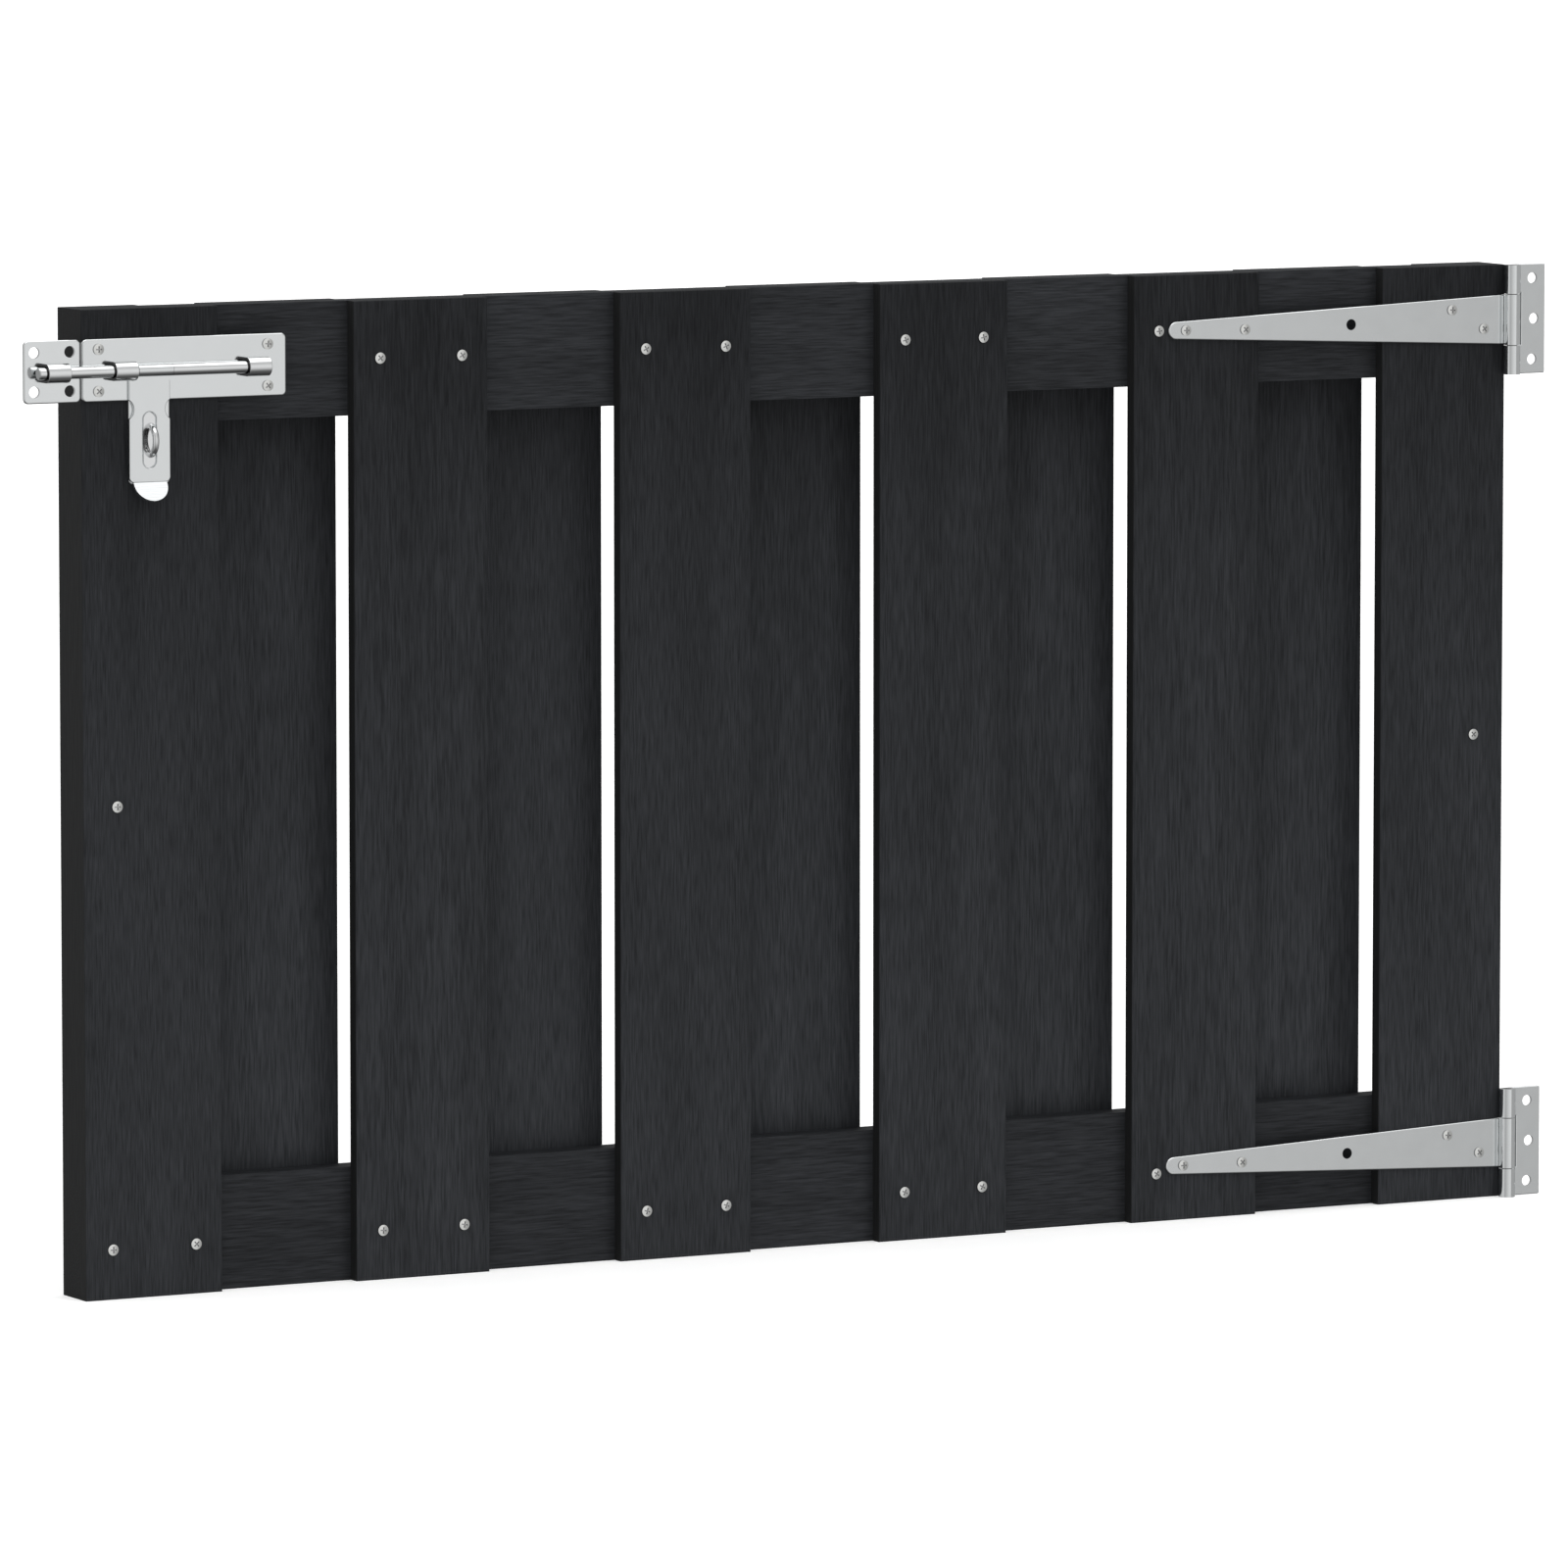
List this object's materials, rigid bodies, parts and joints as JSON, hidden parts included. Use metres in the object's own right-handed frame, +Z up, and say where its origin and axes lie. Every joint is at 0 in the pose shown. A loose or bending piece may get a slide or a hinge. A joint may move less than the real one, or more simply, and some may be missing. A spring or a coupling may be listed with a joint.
{
  "type": "garden gate",
  "caption": "Low boarded garden gate in black composite, with two T-hinges on one side and a sliding padlock bolt with a hasp and a separate keeper on the other.",
  "frame": {"origin": "bottom centre of the whole gate's box, with its hardware", "axes": "+Z up, +X from the bolt side to the hinge side, +Y from the front, where the hardware is, to the back"},
  "size_m": [1.0672, 0.049, 0.6],
  "materials": {
    "deck_board": "black wood-plastic composite, brushed along the board",
    "frame_board": "black wood-plastic composite, brushed along the rail",
    "zinc_plate": "bright zinc plating",
    "zinc_hinge": "bright zinc plating",
    "polished_zinc": "bright polished plating",
    "screw_steel": "plated screw steel"
  },
  "bodies": {
    "post_leaves": {"upper_hinge_leaf": "zinc_hinge", "upper_hinge_pin": "zinc_hinge", "lower_hinge_leaf": "zinc_hinge", "lower_hinge_pin": "zinc_hinge"},
    "gate": {"front_board_1": "deck_board", "front_board_2": "deck_board", "front_board_3": "deck_board", "front_board_4": "deck_board", "front_board_5": "deck_board", "front_board_6": "deck_board", "back_board_1": "deck_board", "back_board_2": "deck_board", "back_board_3": "deck_board", "back_board_4": "deck_board", "back_board_5": "deck_board", "left_back_strip": "deck_board", "right_back_strip": "deck_board", "top_rail": "frame_board", "bottom_rail": "frame_board", "left_stile": "frame_board", "right_stile": "frame_board", "front_board_screws": "screw_steel", "back_board_screws": "screw_steel", "stile_screws": "screw_steel", "upper_hinge_strap": "zinc_hinge", "lower_hinge_strap": "zinc_hinge", "upper_strap_screws": "screw_steel", "lower_strap_screws": "screw_steel", "bolt_plate": "zinc_plate", "bolt_plate_screws": "screw_steel", "bolt_guide_front": "polished_zinc", "bolt_guide_rear": "polished_zinc", "padlock_staple": "polished_zinc"},
    "bolt": {"bolt_rod": "polished_zinc"},
    "hasp": {"hasp": "zinc_plate"},
    "keeper": {"keeper_plate": "zinc_plate", "keeper_guide": "polished_zinc"}
  },
  "joints": [
    {"name": "gate_swing", "type": "hinge", "parent": "post_leaves", "child": "gate", "pos_m": [0.50715, -0.01585, 0.3], "axis": [0, 0, 1], "range_deg": [0, 170]},
    {"name": "bolt_slide", "type": "slide", "parent": "gate", "child": "bolt", "axis": [1, 0, 0], "range_m": [0, 0.027]},
    {"name": "hasp_turn", "type": "hinge", "parent": "bolt", "child": "hasp", "pos_m": [-0.45175, -0.0186, 0.56305], "axis": [-1, 0, 0], "range_deg": [0, 180]},
    {"name": "keeper_slide", "type": "slide", "parent": "gate", "child": "keeper", "axis": [-1, 0, 0], "range_m": [0, 0.03]}
  ],
  "couplings": [
    {"joint": "hasp_turn", "follows": "bolt_slide", "rad_per_m": 116.36}
  ]
}
